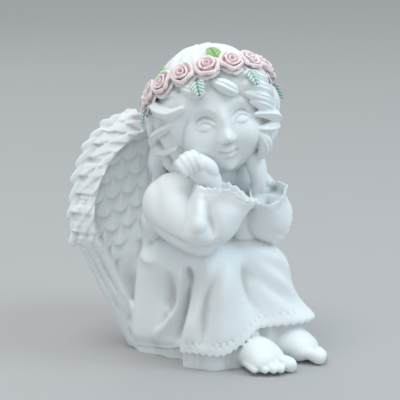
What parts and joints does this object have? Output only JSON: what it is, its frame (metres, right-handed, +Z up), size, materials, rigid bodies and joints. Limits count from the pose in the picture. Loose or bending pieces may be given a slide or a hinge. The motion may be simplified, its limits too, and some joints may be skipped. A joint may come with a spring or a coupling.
{
  "type": "seated angel figurine",
  "caption": "Seated cherub ornament cast in white resin, cheeks resting on its hands and elbows on its knees, with feathered wings and a wreath of roses and leaves.",
  "frame": {"origin": "on the flat underside, below the middle of the lap", "axes": "+Z up, -Y the way the figure's knees point, +X its left side"},
  "size_m": [0.0854, 0.0777, 0.1193],
  "materials": {
    "white_resin": "matt white cast resin with a faint satin sheen",
    "rose_petal": "matt air-dry clay, pale pink, whiter at the petals' rims",
    "rose_leaf": "matt air-dry clay, brushed with green over white"
  },
  "bodies": {
    "root": {"angel_figure": "white_resin", "rose_01": "rose_petal", "rose_02": "rose_petal", "rose_03": "rose_petal", "rose_04": "rose_petal", "rose_05": "rose_petal", "rose_06": "rose_petal", "rose_07": "rose_petal", "rose_08": "rose_petal", "rose_09": "rose_petal", "rose_10": "rose_petal", "rose_11": "rose_petal", "rose_12": "rose_petal", "rose_13": "rose_petal", "rose_14": "rose_petal", "rose_15": "rose_petal", "rose_16": "rose_petal", "leaf_01": "rose_leaf", "leaf_02": "rose_leaf", "leaf_03": "rose_leaf", "leaf_04": "rose_leaf", "leaf_05": "rose_leaf", "leaf_06": "rose_leaf", "leaf_07": "rose_leaf", "leaf_08": "rose_leaf", "leaf_09": "rose_leaf", "leaf_10": "rose_leaf", "leaf_11": "rose_leaf", "leaf_12": "rose_leaf"}
  },
  "joints": []
}
